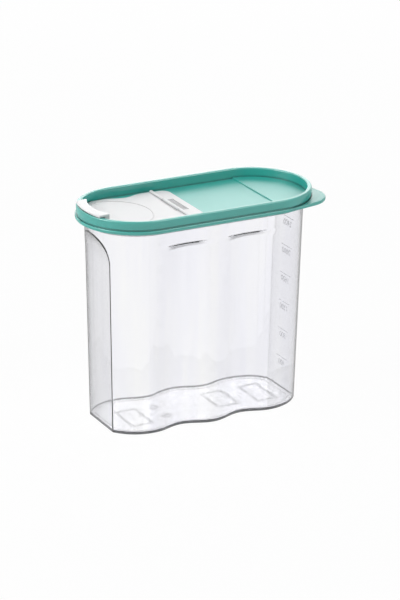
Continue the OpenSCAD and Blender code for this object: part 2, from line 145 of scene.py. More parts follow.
class Flow:
    """A socket in a material. Arithmetic on it adds Math nodes, and node() adds any other."""

    def __init__(self, tree, socket=None):
        self.tree, self.socket = tree, socket

    def node(self, kind, settings=None, inputs=None, output=0):
        """Adds a node of a kind, with its settings first and then its sockets' values or links.
        The setting called stops fills a colour ramp with pairs of place and colour."""
        made = self.tree.nodes.new(kind)
        for key, value in (settings or {}).items():
            if key == "stops":
                ramp = made.color_ramp
                while len(ramp.elements) < len(value):
                    ramp.elements.new(0.5)
                for stop, (place, colour) in zip(ramp.elements, value):
                    stop.position, stop.color = place, colour
            else:
                setattr(made, key, value)
        for key, value in (inputs or {}).items():
            if isinstance(value, Flow):
                self.tree.links.new(value.socket, made.inputs[key])
            else:
                made.inputs[key].default_value = value
        return Flow(self.tree, made.outputs[output]) if made.outputs else None

    def math(self, operation, first, second):
        return self.node("ShaderNodeMath", {"operation": operation}, {0: first, 1: second})

    def __add__(self, other):
        return self.math("ADD", self, other)

    def __mul__(self, other):
        return self.math("MULTIPLY", self, other)

    def __rsub__(self, other):
        return self.math("SUBTRACT", other, self)

    def above(self, low, high):
        """0 below low, 1 above high, and smooth between them."""
        return self.node("ShaderNodeMapRange", {"interpolation_type": "SMOOTHSTEP"},
                         {"Value": self, "From Min": low, "From Max": high})

    def blend(self, first, second):
        """The first colour where this is 0 and the second where it is 1."""
        return self.node("ShaderNodeMix", {"data_type": "RGBA"}, {0: self, 6: first, 7: second}, output=2)


def new_finish(name):
    """An empty material and the flow that builds its nodes."""
    finish = bpy.data.materials.new(name)
    finish.use_nodes = True
    finish.node_tree.nodes.clear()
    return finish, Flow(finish.node_tree)


def noise(flow, scale, detail=2.0, rough=0.5, stretch=(1, 1, 1)):
    """Cloudy noise on the object's own coordinates, in lumps a metre, stretched along the axes."""
    place = flow.node("ShaderNodeTexCoord", output="Object")
    place = flow.node("ShaderNodeMapping", {}, {"Vector": place, "Scale": stretch})
    return flow.node("ShaderNodeTexNoise", {}, {"Vector": place, "Scale": scale, "Detail": detail,
                                                "Roughness": rough})


def upwards(flow, kind):
    """The height of a point, in metres, for Object, or of the unit normal's tip, for Normal."""
    place = flow.node("ShaderNodeTexCoord", output=kind)
    return flow.node("ShaderNodeSeparateXYZ", {}, {0: place}, output="Z")


def clear_plastic(name, streak_tint, foot, turned_away):
    """Clear moulded plastic: faint upright streaks in its tint and gloss, partly flow marks and
    partly painted reflection, and light that passes in its shadow. Painted shade: the tint greys
    as a wall turns edgeways, by stops of [share turned away, grey], and deepens near the bottom;
    a dark coat is mixed in on the foot's outer fillet, half as much on the floor's, and on walls
    seen edgeways."""
    finish, flow = new_finish(name)
    # faint upright streaks: partly flow marks, partly painted reflection
    flow_and_reflection_streaks = noise(flow, 34.0, 3.0, 0.6, (1, 1, 0.12)).above(0.35, 0.7)
    fine = noise(flow, 260.0, 2.0)
    height = upwards(flow, "Object")
    facing = flow.node("ShaderNodeLayerWeight", {}, {"Blend": 0.5}, output="Facing")
    # painted shade: the tint greys as the wall turns edgeways, standing in for the dark edges of clear walls
    painted_edge_tint = flow.node("ShaderNodeValToRGB", {"stops": [(at, (grey, grey, grey * 1.02, 1))
                                                      for at, grey in turned_away]}, {"Fac": facing})
    tint = flow.node("ShaderNodeMix", {"data_type": "RGBA", "blend_type": "MULTIPLY"},
                     {0: 1.0, 6: flow_and_reflection_streaks.blend((1, 1, 1, 1), streak_tint), 7: painted_edge_tint}, output=2)
    plastic = flow.node("ShaderNodeBsdfPrincipled", {}, {
        # painted shade: the lowest few millimetres take the darker foot colour
        "Base Color": height.above(0.0036, 0.002).blend(tint, foot),
        "Roughness": flow_and_reflection_streaks * 0.015 + 0.01,
        "IOR": 1.57,
        "Transmission Weight": 1.0,
        "Normal": flow.node("ShaderNodeBump", {}, {"Strength": 0.03, "Distance": 0.0002, "Height": fine}),
    })
    passing = flow.node("ShaderNodeBsdfTransparent", {}, {"Color": (0.96, 0.965, 0.97, 1)})
    shadow = flow.node("ShaderNodeLightPath", output="Is Shadow Ray")
    lying = upwards(flow, "Normal")
    lying = lying * lying
    # painted shade: a dark coat on the foot's and the floor's fillets, standing in for contact shade, and on
    # walls seen edgeways
    foot_shade_band = height.above(0.0014, 0.0011) * height.above(0.00003, 0.0001)
    floor_shade_band = height.above(0.0029, 0.0027) * height.above(0.0022, 0.0024)
    foot_and_floor_shade = (foot_shade_band + floor_shade_band * 0.5) * lying.above(0.95, 0.9) * (fine * 0.4 + 0.6)
    edge_shade = facing.above(0.7, 0.88) * lying.above(0.5, 0.3) * 0.65
    shade_coat = flow.node("ShaderNodeBsdfPrincipled", {}, {
        "Base Color": (0.12, 0.122, 0.125, 1), "Roughness": 0.5})
    whole = flow.node("ShaderNodeMixShader", {}, {
        0: foot_and_floor_shade.math("MAXIMUM", foot_and_floor_shade, edge_shade), 1: plastic, 2: shade_coat})
    surface = flow.node("ShaderNodeMixShader", {}, {0: shadow, 1: whole, 2: passing})
    depth = flow.node("ShaderNodeVolumeAbsorption", {}, {"Color": (0.44, 0.44, 0.47, 1), "Density": 31.0})
    flow.node("ShaderNodeOutputMaterial", {}, {"Surface": surface, "Volume": depth})
    return finish


# the streak tint is partly painted reflection, the third colour is painted shade near the bottom, and the
# stops paint shade on walls seen edgeways
clear_tub = clear_plastic("clear_tub", (0.96, 0.96, 0.968, 1), (0.49, 0.49, 0.505, 1),
                          [(0.18, 1.0), (0.4, 0.93), (0.554, 0.795), (0.7, 0.5), (0.8, 0.22), (0.9, 0.06)])

# the wall's rows, closer together where its outline turns
quarter_turn = np.linspace(0, math.pi / 2, 9)
turn_up = np.linspace(0, math.pi / 2, 6)
levels = np.unique(np.round(np.concatenate([
    np.linspace(FOOT_FILLET, 150, 9), np.linspace(150, 166, 9), np.linspace(166, 170, 13),
    np.linspace(170, 174.5, 15), np.linspace(174.5, 179, 10), np.linspace(179, 182, 11),
    np.linspace(182, 185, 3), np.linspace(185, 187.5, 9), np.linspace(187.5, 188.8, 3),
    np.linspace(188.8, 190.4, 7), [193, 196]]), 3))
inner = levels[(levels > FLOOR + FLOOR_FILLET + 1) & (levels < 192)][::-1]
lift = LIFT * (bend(inner - LIFT_FOOT, 2) - bend(inner - LIFT_TOP, 2)) / (LIFT_TOP - LIFT_FOOT)
lift = lift + SHOULDER_LIFT * (inner > 184)

# the wall's section as rows of [height, inset, height that the outline is taken at]. Each sharp
# edge has a row close beside it, which keeps the shading of the flat faces flat.
ring_inset = FOOT_FILLET + FOOT_RING
hollow_inset = ring_inset + FOOT_HOLLOW
path = np.concatenate([
    # the hollow under the floor, the foot ring and the fillet round the foot
    [[FOOT_HOLLOW, hollow_inset + inward, FOOT_HOLLOW] for inward in (0.5, 0.2, 0.05)],
    [[FOOT_HOLLOW - 0.1, hollow_inset - 0.1, FOOT_HOLLOW], [0.1, ring_inset + 0.1, 0],
     [0, ring_inset - 0.1, 0], [0, ring_inset - 0.3, 0], [0, FOOT_FILLET + 0.2, 0]],
    np.stack([FOOT_FILLET * (1 - np.cos(quarter_turn)), FOOT_FILLET * (1 - np.sin(quarter_turn)),
              FOOT_FILLET * (1 - np.cos(quarter_turn))], axis=1),
    # up the outside, and over the rim
    np.stack([levels[1:], 0 * levels[1:], levels[1:]], axis=1),
    np.stack([TUB_TOP - RIM_ROUND + RIM_ROUND * np.sin(turn_up), RIM_ROUND - RIM_ROUND * np.cos(turn_up),
              0 * turn_up + TUB_TOP], axis=1),
    np.stack([TUB_TOP - RIM_ROUND + RIM_ROUND * np.cos(turn_up),
              RIM_WALL - RIM_ROUND + RIM_ROUND * np.sin(turn_up), 0 * turn_up + TUB_TOP], axis=1),
    # down the inside, to the fillet on the floor
    np.stack([inner + lift, WALL + 0 * inner, inner], axis=1),
    np.stack([FLOOR + FLOOR_FILLET * (1 - np.cos(quarter_turn[::-1])),
              WALL + FLOOR_FILLET * (1 - np.sin(quarter_turn[::-1])),
              FLOOR + FLOOR_FILLET * (1 - np.cos(quarter_turn[::-1]))], axis=1),
    [[FLOOR, WALL + FLOOR_FILLET + inward, FLOOR] for inward in (0.1, 0.5)],
])
rings = outline(path[:, 2], path[:, 1])
rings[:, :, 2] = path[:, 0][:, None]
make_piece("tub_moulding", [shell(rings)], "tub", clear_tub, ["tub"], crease=180)

# ---------------------------------------------------------------- the measuring scale
# Six raised strokes with the contents in millilitres under each, moulded on the outside of the
# end panel at the tab end. They are read from outside, so through the tub they run backwards.
MARKS, MARK_TOP, MARK_STEP = 6, 164.6, 26.8
MARK_HALF, MARK_THICK, MARK_RISE, MARK_SUNK = 9.2, 0.28, 0.18, 0.2
NUMERAL, NUMERAL_DROP, MARK_VALUE = 5.2, 9.0, 400
FONT_SIZE = NUMERAL * 1.4       # the font's numerals are 1 / 1.4 of its size tall


def stroke_box(x, y, z):
    """A box between two values of x, of y and of z, as a shell of two square rows."""
    across = np.array([[y[0], z[0]], [y[1], z[0]], [y[1], z[1]], [y[0], z[1]]])
    return shell(np.stack([np.concatenate([np.full((4, 1), side), across], axis=1) for side in x]))


def frosted_plastic(name, colour, deeper, cover):
    """The same plastic where the mould is etched: a fine frost that partly hides what is behind."""
    finish, flow = new_finish(name)
    fine = noise(flow, 700.0, 3.0)
    marking = flow.node("ShaderNodeBsdfPrincipled", {}, {
        "Base Color": fine.above(0.3, 0.7).blend(colour, deeper),
        "Roughness": fine * 0.2 + 0.35,
        "IOR": 1.5,
        "Alpha": fine * 0.12 + cover,
    })
    flow.node("ShaderNodeOutputMaterial", {}, {"Surface": marking})
    return finish


frosted = frosted_plastic("frosted_scale", (0.62, 0.63, 0.66, 1), (0.5, 0.51, 0.54, 1), 0.3)
heights = MARK_TOP - MARK_STEP * np.arange(MARKS)
faces_at = SPINE + panel_distance(heights)
make_piece("scale_strokes", [
    stroke_box((x - MARK_SUNK, x + MARK_RISE), (-MARK_HALF, MARK_HALF), (z - MARK_THICK, z + MARK_THICK))
    for x, z in zip(faces_at, heights)], "tub", frosted)
for step, top in enumerate(heights):
    numeral = bpy.data.curves.new("numeral", "FONT")
    numeral.body = str(MARK_VALUE * (MARKS - step))
    numeral.size, numeral.extrude = FONT_SIZE * MM, MARK_RISE * MM
    numeral.align_x, numeral.align_y = "CENTER", "BOTTOM"
    carrier = bpy.data.objects.new("numeral", numeral)
    bpy.context.collection.objects.link(carrier)
    mesh = bpy.data.meshes.new_from_object(carrier.evaluated_get(bpy.context.evaluated_depsgraph_get()))
    bpy.data.objects.remove(carrier)
    flat = np.empty(len(mesh.vertices) * 3)
    mesh.vertices.foreach_get("co", flat)
    flat = flat.reshape(-1, 3) / MM
    z = top - NUMERAL_DROP + flat[:, 1]
    upright = np.stack([SPINE + panel_distance(z) + flat[:, 2], flat[:, 0], z], axis=1)
    mesh.vertices.foreach_set("co", (upright * MM).ravel())
    mesh.materials.clear()
    mesh.materials.append(frosted)
    fit_piece("numeral_%d" % (MARK_VALUE * (MARKS - step)), mesh, "tub")

# ---------------------------------------------------------------- the floor's marks
# Fine raised lines under the floor, from the mould: two date dials, three bare frames and the
# stub of the gate, where the plastic was injected.
MARK_Z = (FOOT_HOLLOW - 0.18, FOOT_HOLLOW + 0.1)
GATE_AT, GATE_R = (0.8, -1.8), 1.5
DIALS_AT, DIAL_RINGS, DIAL_TICK = ((-34.7, 8.5), (-33.5, -12.7)), ((1.4, 2.0), (3.9, 4.5)), (2.6, 3.5)
FRAMES_AT, FRAME_GAP = ((-72, -51, -22, 14.5), (17, 38, -17, 17), (55, 75.5, -21, 18)), 1.8


def bar(start, end, width=0.8):
    """A flat bar under the floor, between two points of its plan."""
    start, end = np.array(start, float), np.array(end, float)
    way = (end - start) / np.linalg.norm(end - start)
    side = np.array([-way[1], way[0]]) * width / 2
    rows = [[[*(point + turn * side), z] for turn, z in ((-1, MARK_Z[0]), (1, MARK_Z[0]), (1, MARK_Z[1]),
                                                         (-1, MARK_Z[1]))] for point in (start, end)]
    return shell(np.array(rows))


def hoop(x, y, inner, outer):
    """A flat hoop under the floor, about a point, between two radii."""
    angle = np.linspace(0, 2 * math.pi, 41)[:-1]
    radius = np.array([inner, outer, outer, inner])[:, None]
    level = np.array([MARK_Z[0], MARK_Z[0], MARK_Z[1], MARK_Z[1]])[:, None] + 0 * angle
    return shell(np.stack([x + radius * np.cos(angle), y + radius * np.sin(angle), level], axis=2), ring=True)


def frame_bars(left, right, near, far):
    """Four bars round a rectangle of the plan."""
    corners = [(left, near), (right, near), (right, far), (left, far)]
    return [bar(start, end) for start, end in zip(corners, corners[1:] + corners[:1])]


lines = [hoop(*GATE_AT, 0.05, GATE_R)]
for middle in DIALS_AT:
    lines += [hoop(*middle, inside, outside) for inside, outside in DIAL_RINGS]
    for turn in np.arange(12) * math.pi / 6:
        way = np.array([math.cos(turn), math.sin(turn)])
        lines.append(bar(middle + DIAL_TICK[0] * way, middle + DIAL_TICK[1] * way, 0.6))
for left, right, near, far in FRAMES_AT:
    lines += frame_bars(left, right, near, far)
    lines += frame_bars(left + FRAME_GAP, right - FRAME_GAP, near + FRAME_GAP, far - FRAME_GAP)
make_piece("floor_marks", lines, "tub", frosted_plastic(
    "frosted_floor", (0.2, 0.205, 0.22, 1), (0.12, 0.125, 0.14, 1), 0.75))

# ---------------------------------------------------------------- the lid
# One soft, satin moulding in teal, pressed over the tub's rim: a raised ring that is hollow
# underneath, a half-round flange, a sunk panel with a step and the pour opening, and the tab.
LID_R, LID_TOP, RING, RING_ROUND = 51.2, 201.0, 4.0, 1.2
WELL_R, SKIRT_R, CHANNEL_R, ROOF = LID_R - RING, 50.3, 48.3, 199.9
FLANGE_R, FLANGE_TOP, SKIRT_FOOT = 52.28, 192.4, 189.2
GROOVE = 0.6            # depth of the groove between the skirt and the flange
PANEL_TOP, PANEL_FOOT, STEP_X, STEP_RISE, STEP_RUN = 192.0, 190.7, 62.5, 1.0, 0.45
SEAM = -15.0            # where the two grids of the panel meet, under the hinge plate
POUR_HUB = -72.0        # the point from which the pour opening's outline is measured
POUR_X, POUR_R = -81.5, 36.5
POUR_RING_R, LIP_X, LIP_EDGE_R = 42.4, -52.7, 47.0
PLUG_GAP = 0.4
TAB_DIR, TAB_REACH, TAB_R, TAB_PLATE, TAB_RIM = -33.0, 38.0, 25.75, 1.6, 1.2
TAB_ROOT = -20          # how far in from its edge the tab's plate reaches


def rounded(corners, steps=5):
    """A closed section from corners of [across, up, radius]. Each corner becomes an arc that
    leaves its two sides radius / tan(half the angle) away, drawn as a rational quadratic curve
    whose middle weighs the sine of half the angle."""
    corners = np.asarray(corners, float)
    point = corners[:, None, :2]
    before, after = np.roll(point, 1, axis=0) - point, np.roll(point, -1, axis=0) - point
    sizes = np.linalg.norm(before, axis=2), np.linalg.norm(after, axis=2)
    before, after = before / sizes[0][:, :, None], after / sizes[1][:, :, None]
    lean = (before * after).sum(axis=2)
    reach = corners[:, 2:] * np.sqrt((1 + lean) / np.maximum(1 - lean, 1e-6))
    reach = np.minimum(reach, 0.49 * np.minimum(*sizes))[:, :, None]
    t = np.linspace(0, 1, steps + 1)[None, :, None]
    middle = 2 * t * (1 - t) * np.sqrt((1 - lean) / 2)[:, :, None]
    curve = (1 - t) ** 2 * (point + before * reach) + middle * point + t ** 2 * (point + after * reach)
    return (curve / ((1 - t) ** 2 + middle + t ** 2)).reshape(-1, 2)


def round_ends(section):
    """Sweeps a section of [distance from the spine, height] round the lid's plan: half a turn
    about each end of the spine, and straight between them."""
    half = np.linspace(-math.pi / 2, math.pi / 2, 73)
    angle = np.concatenate([half, half + math.pi])
    middle = np.repeat([SPINE, -SPINE], 73)
    across, up = section[:, :1], section[:, 1:]
    return np.stack([middle + across * np.cos(angle), across * np.sin(angle), up + 0 * angle], axis=2)


def reach_of(angle, hub, centre, radius):
    """Distance from the hub, at an angle, to a circle about a centre, both on the long axis."""
    along = (hub - centre) * np.cos(angle)
    return np.sqrt(np.maximum(along ** 2 - (hub - centre) ** 2 + radius ** 2, 0)) - along


def pour_outline(angle, grow):
    """Distance from the hub to the pour opening's edge, grown by some: the least of the pour
    circle, a circle within the ring and the inner edge of the thumb lip, with soft corners."""
    pour = reach_of(angle, POUR_HUB, POUR_X, POUR_R + grow)
    ring = reach_of(angle, POUR_HUB, -SPINE, POUR_RING_R + grow)
    lip = reach_of(angle, POUR_HUB, LIP_X, LIP_EDGE_R + grow)
    least = ring - bend(ring - lip, 0.5)
    return pour - bend(pour - least, 0.5)


def tab_edge(turn, inset):
    """Distance from the round end's centre to the lift tab's edge, drawn in by an inset, at an
    angle from the tab's middle: the tip's circle, then the tangent to the flange's circle."""
    big, tip = FLANGE_R - inset, TAB_R - inset
    touch = np.arccos((big - tip) / TAB_REACH)
    switch = np.arctan2(tip * np.sin(touch), TAB_REACH + tip * np.cos(touch))
    line = big / np.cos(np.minimum(np.abs(np.abs(turn) - touch), 1.2))
    off = TAB_REACH * np.sin(turn)
    round_tip = TAB_REACH * np.cos(turn) + np.sqrt(np.maximum(tip ** 2 - off ** 2, 0))
    return np.where(np.abs(turn) < switch, round_tip, line)


def step_up(x, foot, place):
    """Height along a face of the panel that steps up at a place: two rounded ramps, the second
    of which takes the first one's rise back."""
    ramp = (x - place) / STEP_RUN
    return foot + STEP_RISE * (bend(ramp, 0.25) - bend(ramp - 1, 0.25))


def crease_shade_mask(flow, reach):
    """1 in narrow gaps and inner corners, 0 on open faces, from what lies within a reach; it places painted
    shade.
    """
    open_share = flow.node("ShaderNodeAmbientOcclusion", {"samples": 6}, {"Distance": reach}, output="AO")
    return 1.0 - open_share.above(0.38, 0.85)


def satin_plastic(name, colour, deeper, painted_crease_colour, rough, grain, scatter, matt_below):
    """Satin moulded plastic: slow shifts of colour and gloss, a fine eroded grain that is matt on
    level faces below a height in metres, and painted shade: a deeper colour in the creases."""
    finish, flow = new_finish(name)
    low = upwards(flow, "Object").above(matt_below + 0.0002, matt_below)
    matt = upwards(flow, "Normal").above(0.9, 0.98) * low
    cloud = noise(flow, 22.0, 4.0, 0.6)
    fine = noise(flow, 900.0, 3.0, 0.6)
    tint = cloud.above(0.3, 0.75).blend(colour, deeper)
    plastic = flow.node("ShaderNodeBsdfPrincipled", {}, {
        # painted shade: the darker colour fills gaps and inner corners
        "Base Color": crease_shade_mask(flow, 0.0028).blend(tint, painted_crease_colour),
        "Roughness": cloud * 0.06 + fine * 0.05 + matt * 0.1 + rough,
        "IOR": 1.8,
        "Specular IOR Level": 0.65,
        "Subsurface Weight": scatter,
        "Subsurface Radius": (0.5, 1.0, 0.95),
        "Subsurface Scale": 0.003,
        "Normal": flow.node("ShaderNodeBump", {}, {"Strength": grain, "Distance": 0.0001, "Height": fine}),
    })
    flow.node("ShaderNodeOutputMaterial", {}, {"Surface": plastic})
    return finish


# the third colour is painted shade for the creases
teal_lid = satin_plastic("teal_lid", (0.015, 0.4, 0.345, 1), (0.01, 0.375, 0.32, 1), (0.0, 0.09, 0.08, 1),
                         0.27, 0.12, 0.45, 0.1935)

# the ring: wall, rounded top, skirt with a groove over its half-round flange, and the channel
ring_section = rounded([
    [WELL_R, PANEL_FOOT, 0.05], [WELL_R, LID_TOP, RING_ROUND], [LID_R, LID_TOP, RING_ROUND],
    [LID_R, FLANGE_TOP + 1.4, 0.2], [LID_R - GROOVE, FLANGE_TOP + 1.0, 0.15],
    [LID_R - GROOVE, FLANGE_TOP, 0.1], [FLANGE_R, FLANGE_TOP, 1.55],
    [FLANGE_R, SKIRT_FOOT, 1.55], [SKIRT_R, SKIRT_FOOT, 0.2],
    [SKIRT_R, ROOF, 0.3], [CHANNEL_R, ROOF, 0.3], [CHANNEL_R, PANEL_FOOT, 0.2]], 6)
ring = shell(round_ends(ring_section), ring=True)

# the panel round the pour opening: one ring from the opening's edge to the seam and into the wall
panel_r = WELL_R + 0.6
edge_angle = math.atan2(panel_r, SEAM - POUR_HUB)
half = np.concatenate([np.linspace(0, edge_angle, 25)[:-1], np.linspace(edge_angle, math.pi, 73)])
angle = np.concatenate([half, -half[-2:0:-1]])
side_reach = panel_r / np.maximum(np.abs(np.sin(angle)), 1e-6)
outer = np.where(POUR_HUB + side_reach * np.cos(angle) > -SPINE,
                 np.minimum(side_reach, (SEAM - POUR_HUB) / np.maximum(np.cos(angle), 1e-6)),
                 reach_of(angle, POUR_HUB, -SPINE, panel_r))
hole_section = rounded([[4, PANEL_TOP, 0.05], [0, PANEL_TOP, 0.3],
                        [0, PANEL_FOOT, 0.3], [4, PANEL_FOOT, 0.05]])
reach = np.where(hole_section[:, :1] > 3, outer, np.minimum(
    pour_outline(angle[None, :], PLUG_GAP + hole_section[:, :1]), outer))
pour_panel = shell(np.stack([POUR_HUB + reach * np.cos(angle), reach * np.sin(angle),
                             hole_section[:, 1:] + 0 * angle], axis=2), ring=True)

# the panel on the tab's side of the seam, in rows that gather at the step and at the round end
stations = np.concatenate([np.linspace(SEAM, STEP_X - 1, 4), np.linspace(STEP_X - 0.6, STEP_X + 2, 27),
                           SPINE + panel_r * np.sin(np.linspace(0.15, math.pi / 2 - 0.02, 40))])
half_width = np.sqrt(panel_r ** 2 - np.maximum(stations - SPINE, 0) ** 2)
upper = step_up(stations, PANEL_TOP, STEP_X)
lower = step_up(stations, PANEL_FOOT, STEP_X + PANEL_TOP - PANEL_FOOT)
tab_panel = shell(np.stack([np.stack([stations, side * half_width, level], axis=1) for side, level in (
    (-1, lower), (-1, upper), (1, upper), (1, lower))], axis=1))

# the lift tab: a plate with a half-round edge, hollow underneath, that grows out of the skirt
turn = np.linspace(-0.8, 0.8, 97)
tab_section = rounded([[TAB_ROOT, SKIRT_FOOT + TAB_PLATE, 0.02], [-2 * TAB_RIM, SKIRT_FOOT + TAB_PLATE, 0.3],
                       [-2 * TAB_RIM, SKIRT_FOOT, 0.3], [0, SKIRT_FOOT, 1.2], [0, FLANGE_TOP, 1.2],
                       [TAB_ROOT, FLANGE_TOP, 0.02]])
reach = np.maximum(tab_edge(turn, -tab_section[:, :1]), SKIRT_R + 0.4)
angle = turn + math.radians(TAB_DIR)
tab_grid = np.stack([SPINE + reach * np.cos(angle), reach * np.sin(angle),
                     tab_section[:, 1:] + 0 * angle], axis=2)
lift_tab = shell(tab_grid.transpose(1, 0, 2))
make_piece("lid_moulding", [ring, pour_panel, tab_panel, lift_tab], "lid", teal_lid, ["lid"])

# ---------------------------------------------------------------- the hinge plate
# A white moulding on the lid's panel, held by four headed pegs: a plate with a shallow tray,
# and two long knuckles that take the flap's trunnions.
HINGE_X, HINGE_Z, KNUCKLE_R, MIDDLE = -23.0, 194.0, 1.7, 15.0
PLATE_TOP, PLATE_FRONT, PLATE_BACK, PLATE_HALF, PLATE_CORNER = PANEL_TOP + 1.7, -22.5, -7.5, 40.0, 9.0
TRAY_FRONT, TRAY_BACK, TRAY_DEPTH, TRAY_GAP, RIB_STEP, RIB_HALF = -20.9, -14.0, 0.7, 0.4, 1.2, 0.3
PEG_X, PEG_R, PEG_HEAD_R = HINGE_X + (PLATE_BACK - HINGE_X) * 0.55, 1.8, 2.6
PEG_PLACES = (0.3, 0.8)     # shares of the plate's half width


def slab(plan, foot, top, edge):
    """A flat plate with rounded edges on a plan of points [x, y], which are drawn in along the
    normals of the plan: the plan's own direction from point to point, turned a quarter."""
    way = np.roll(plan, -1, axis=0) - np.roll(plan, 1, axis=0)
    out = np.stack([way[:, 1], -way[:, 0]], axis=1) / np.linalg.norm(way, axis=1)[:, None]
    drawn = -edge - 0.12
    section = rounded([[drawn, foot, 0.02], [0, foot, edge], [0, top, edge], [drawn, top, 0.02]])[5:-5]
    flat = plan[None] + section[:, None, :1] * out[None]
    return shell(np.concatenate([flat, section[:, None, 1:] + 0 * flat[:, :, :1]], axis=2))


def turned(centre, profile, axis):
    """A round shape about an axis (1 for y, 2 for z) through a centre, from a profile of
    [place along the axis, radius]."""
    angle = np.linspace(0, 2 * math.pi, 49)[:-1]
    along, radius = np.asarray(profile, float).T[:, :, None]
    round_points = [centre[0] + radius * np.cos(angle), centre[1] + radius * np.sin(angle)]
    round_points.insert(axis, along + 0 * angle)
    return shell(np.stack(round_points, axis=2))


def barrel(start, end, radius, edge=0.3):
    """The profile of a round bar with rounded ends, in rows of [place along the axis, radius]."""
    bow = np.linspace(0, math.pi / 2, 5)
    out, up = edge * np.sin(bow), radius - edge + edge * np.cos(bow)
    near = np.stack([start + edge - out[::-1], up[::-1]], axis=1)
    return np.concatenate([near, np.stack([end - edge + out, up], axis=1)])


def block(left, right, near, far):
    """The plan of a rectangle, with its corners anticlockwise."""
    return np.array([[left, near], [right, near], [right, far], [left, far]], float)


# the third colour is painted shade for the creases
white_cover = satin_plastic("white_cover", (0.73, 0.73, 0.735, 1), (0.7, 0.7, 0.71, 1), (0.32, 0.32, 0.33, 1),
                            0.33, 0.1, 0.1, 0.1946)
near_side = [[PLATE_BACK, PLATE_HALF, PLATE_CORNER], [PLATE_FRONT, PLATE_HALF, 0.8],
             [PLATE_FRONT, MIDDLE + TRAY_GAP, 0.8], [TRAY_BACK, MIDDLE + TRAY_GAP, 0.8]]
plan = rounded(near_side + [[x, -y, radius] for x, y, radius in near_side[::-1]], 10)

# the plate, the tray's floor and its ribs
tray = block(TRAY_FRONT, TRAY_BACK + 1, -MIDDLE - 1, MIDDLE + 1)
plate_shells = [slab(plan, PANEL_TOP, PLATE_TOP, 0.4), slab(tray, PANEL_TOP, PLATE_TOP - TRAY_DEPTH, 0.1)]
plate_shells += [
    slab(block(TRAY_FRONT + 0.3, TRAY_BACK - 0.3, y - RIB_HALF, y + RIB_HALF),
         PLATE_TOP - 1, PLATE_TOP - 0.3, 0.12)
    for y in np.arange(-12 * RIB_STEP, 12.1 * RIB_STEP, RIB_STEP)]

# the knuckles, and the pegs with their heads under the panel
knuckle = barrel(MIDDLE + TRAY_GAP, PLATE_HALF, KNUCKLE_R)
peg = [[PLATE_TOP - 1, PEG_R], [PANEL_FOOT - 0.05, PEG_R], [PANEL_FOOT - 0.05, PEG_HEAD_R - 0.1],
       [PANEL_FOOT - 0.15, PEG_HEAD_R], [PANEL_FOOT - 0.7, PEG_HEAD_R], [PANEL_FOOT - 0.9, PEG_HEAD_R - 0.2],
       [PANEL_FOOT - 0.95, PEG_HEAD_R - 0.5]]
for side in (-1, 1):
    plate_shells.append(turned((HINGE_X, HINGE_Z), knuckle * [side, 1], 1))
    plate_shells += [turned((PEG_X, side * place * PLATE_HALF), peg, 2) for place in PEG_PLACES]
make_piece("hinge_plate_moulding", plate_shells, "lid", white_cover, ["hinge_plate"])

# ---------------------------------------------------------------- the pour cover
# A white flap: plate with a waist and a round head, a plug rim that fills the pour opening, a
# fine line over it, a thumb lip over the lid's ring, and the barrel with two trunnions.
FLAP_FOOT, FLAP_TOP, FLAP_HALF, FLAP_BACK = 192.3, 193.9, 40.4, -25.1
WAIST_X, WAIST_LONG, WAIST_DEEP, HEAD_R = -51.0, 37.0, 4.4, 46.4
PLUG_WALL, PLUG_FOOT, LINE_WIDE, LINE_RISE = 1.2, FLAP_FOOT - 4.5, 0.9, 0.33
BEAD_WIDE, BEAD_RISE, BEAD_SET_BACK = 1.1, 0.25, 0.8
LIP_HALF, LIP_WALL, LIP_FOOT, LIP_RIDGE, LIP_FALL = 22.6, 1.3, 201.3, 203.5, 1.1 / 7.35
LIP_INNER_R, LIP_OUTER_X, LIP_OUTER_R, LIP_RIDGE_X = 47.4, -30.1, 78.0, -100.75
LIP_JOIN = LIP_HALF - 0.6       # where the plate's outline turns in behind the lip


def inner_edge(y):
    """Where the lip's inner face stands at a place across the lid, on a circle."""
    return LIP_X - np.sqrt(LIP_INNER_R ** 2 - y ** 2)


def head_edge(y):
    """Where the round head's edge stands at a place across the lid, on a circle."""
    return -SPINE - np.sqrt(HEAD_R ** 2 - y ** 2)


def both_sides(half, sign=1):
    """Numbers from one end to the middle, and on to the other end with their sign kept or turned."""
    return np.concatenate([half, sign * half[-2::-1]])


# the plate's outline: the hinge edge, a corner, the cosine waist, the round head and the lip's back
run = np.concatenate([np.linspace(-26.1, -81, 60), -SPINE - HEAD_R * np.sin(np.linspace(0.5, 1.2, 30))])
run = run[run > head_edge(LIP_JOIN)]
waist = np.abs(run - WAIST_X) < WAIST_LONG / 2
side_edge = FLAP_HALF - WAIST_DEEP * waist * (1 + np.cos(2 * math.pi * (run - WAIST_X) / WAIST_LONG)) / 2
head = np.sqrt(np.maximum(HEAD_R ** 2 - np.minimum(run + SPINE, 0) ** 2, 0))
side_edge = side_edge - bend(side_edge - head, 0.6)
arc_y = np.linspace(LIP_JOIN, 0, 20)
hinge_corner = rounded([[FLAP_BACK, 30.0, 0.02], [FLAP_BACK, FLAP_HALF, 0.9],
                        [FLAP_BACK - 3, FLAP_HALF, 0.02]])
half_plan = np.concatenate([
    [[FLAP_BACK, 0.0], [FLAP_BACK, 30.0]], hinge_corner[6:12], np.stack([run, side_edge], axis=1),
    [[head_edge(LIP_JOIN), LIP_JOIN]],
    np.stack([inner_edge(arc_y) - LIP_WALL / 2, arc_y], axis=1)])
plan = np.concatenate([half_plan, half_plan[-2:0:-1] * [1, -1]])
flap_shells = [slab(plan, FLAP_FOOT, FLAP_TOP, 0.35)]

